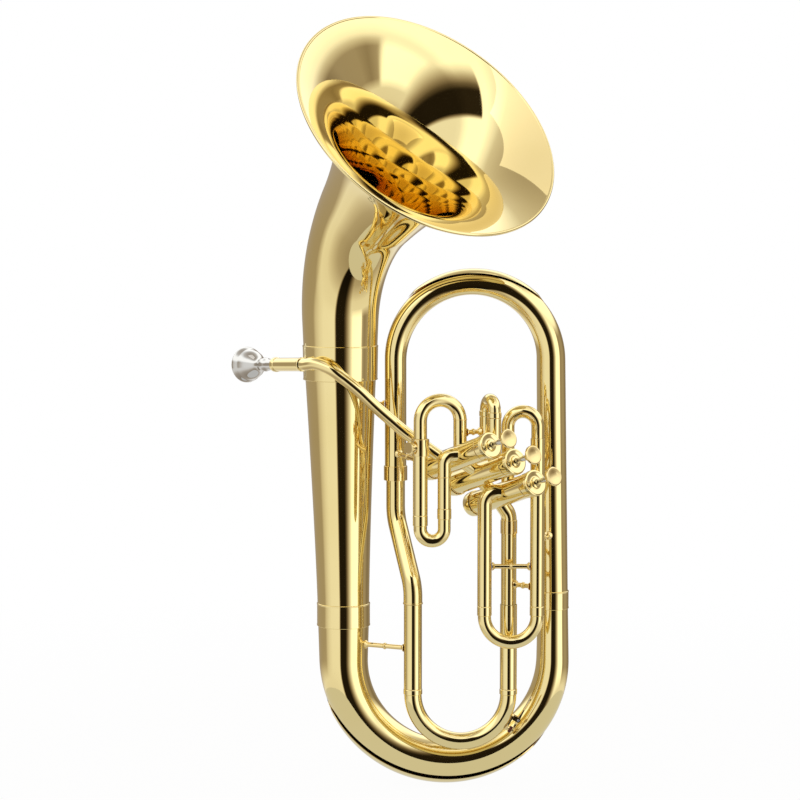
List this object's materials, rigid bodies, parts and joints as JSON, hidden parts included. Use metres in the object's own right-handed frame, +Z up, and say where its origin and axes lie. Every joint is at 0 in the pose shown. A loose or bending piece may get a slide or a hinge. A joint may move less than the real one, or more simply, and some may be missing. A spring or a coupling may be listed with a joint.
{
  "type": "baritone horn",
  "caption": "Bell-front baritone horn in lacquered brass, with front-action piston valves and a silver-plated mouthpiece.",
  "frame": {"origin": "lowest point of the guard under the bottom bow, where the horn rests on the player's lap", "axes": "+Z up along the bell branch; the large tubing lies in the plane Y = 0; the bell and the finger buttons point to -Y and +X; the player is on the +Y side"},
  "size_m": [0.3573, 0.3091, 0.7978],
  "materials": {
    "lacquered_brass": "polished and clear lacquered",
    "silver_plate": "silver plated",
    "piston_nickel": "nickel plated",
    "spring_steel": "drawn wire",
    "cork": "cut cork, dyed dark red"
  },
  "bodies": {
    "root": {"bell": "lacquered_brass", "bell_ferrule": "lacquered_brass", "bell_branch": "lacquered_brass", "bow_ferrule_left": "lacquered_brass", "bottom_bow": "lacquered_brass", "bottom_bow_guard": "lacquered_brass", "bow_ferrule_right": "lacquered_brass", "top_bow": "lacquered_brass", "top_bow_guard": "lacquered_brass", "s_branch": "lacquered_brass", "tuning_leg_left": "lacquered_brass", "tuning_leg_right": "lacquered_brass", "valve_exit_tube": "lacquered_brass", "leadpipe": "lacquered_brass", "mouthpiece_receiver": "lacquered_brass", "valve_casing_1": "lacquered_brass", "top_cap_1": "lacquered_brass", "bottom_cap_1": "lacquered_brass", "valve_spring_1": "spring_steel", "valve_casing_2": "lacquered_brass", "top_cap_2": "lacquered_brass", "bottom_cap_2": "lacquered_brass", "valve_spring_2": "spring_steel", "valve_casing_3": "lacquered_brass", "top_cap_3": "lacquered_brass", "bottom_cap_3": "lacquered_brass", "valve_spring_3": "spring_steel", "knuckle_1_2": "lacquered_brass", "knuckle_2_3": "lacquered_brass", "first_upper_loop": "lacquered_brass", "first_leg_left": "lacquered_brass", "first_lower_tube": "lacquered_brass", "second_leg_back": "lacquered_brass", "second_leg_front": "lacquered_brass", "third_upper_loop": "lacquered_brass", "third_leg_right": "lacquered_brass", "third_lower_tube": "lacquered_brass", "bell_to_top_bow_brace": "lacquered_brass", "bow_to_tuning_brace": "lacquered_brass", "first_to_second_brace": "lacquered_brass", "first_loop_brace": "lacquered_brass", "third_leg_brace": "lacquered_brass", "exit_to_third_brace": "lacquered_brass", "third_to_branch_brace": "lacquered_brass", "lyre_holder": "lacquered_brass"},
    "mouthpiece": {"mouthpiece": "silver_plate"},
    "lyre_screw": {"lyre_screw": "lacquered_brass"},
    "tuning_slide": {"tuning_slide": "lacquered_brass", "water_key_saddle": "lacquered_brass"},
    "water_key": {"water_key_lever": "lacquered_brass", "water_key_cork": "cork"},
    "first_slide": {"first_slide": "lacquered_brass"},
    "second_slide": {"second_slide": "lacquered_brass"},
    "third_slide": {"third_slide": "lacquered_brass"},
    "valve_1": {"piston_1": "piston_nickel", "finger_button_1": "lacquered_brass"},
    "valve_2": {"piston_2": "piston_nickel", "finger_button_2": "lacquered_brass"},
    "valve_3": {"piston_3": "piston_nickel", "finger_button_3": "lacquered_brass"}
  },
  "joints": [
    {"name": "valve_1_press", "type": "slide", "parent": "root", "child": "valve_1", "axis": [-0.5769, 0.7578, -0.3049], "range_m": [0, 0.016], "stiffness_N_per_m": 120, "springref_m": -0.02, "deforming": ["valve_spring_1"]},
    {"name": "valve_2_press", "type": "slide", "parent": "root", "child": "valve_2", "axis": [-0.5769, 0.7578, -0.3049], "range_m": [0, 0.016], "stiffness_N_per_m": 120, "springref_m": -0.02, "deforming": ["valve_spring_2"]},
    {"name": "valve_3_press", "type": "slide", "parent": "root", "child": "valve_3", "axis": [-0.5769, 0.7578, -0.3049], "range_m": [0, 0.016], "stiffness_N_per_m": 120, "springref_m": -0.02, "deforming": ["valve_spring_3"]},
    {"name": "tuning_slide_pull", "type": "slide", "parent": "root", "child": "tuning_slide", "axis": [0, 0, -1], "range_m": [0, 0.06]},
    {"name": "first_slide_pull", "type": "slide", "parent": "root", "child": "first_slide", "axis": [0, 0, -1], "range_m": [0, 0.025]},
    {"name": "second_slide_pull", "type": "slide", "parent": "root", "child": "second_slide", "axis": [0, 0, 1], "range_m": [0, 0.022]},
    {"name": "third_slide_pull", "type": "slide", "parent": "root", "child": "third_slide", "axis": [0, 0, -1], "range_m": [0, 0.07]},
    {"name": "mouthpiece_pull", "type": "slide", "parent": "root", "child": "mouthpiece", "axis": [-0.5779, 0.8139, -0.06], "range_m": [0, 0.03]},
    {"name": "water_key_rock", "type": "hinge", "parent": "tuning_slide", "child": "water_key", "pos_m": [0.07237, -0.035, 0.07438], "axis": [0, -1, 0], "range_deg": [0, 15], "stiffness_Nm_per_rad": 0.05, "springref_deg": -20.05},
    {"name": "lyre_screw_turn", "type": "hinge", "parent": "root", "child": "lyre_screw", "pos_m": [-0.03, -0.079, 0.364], "axis": [-0.769, -0.6392, 0], "continuous": true}
  ]
}
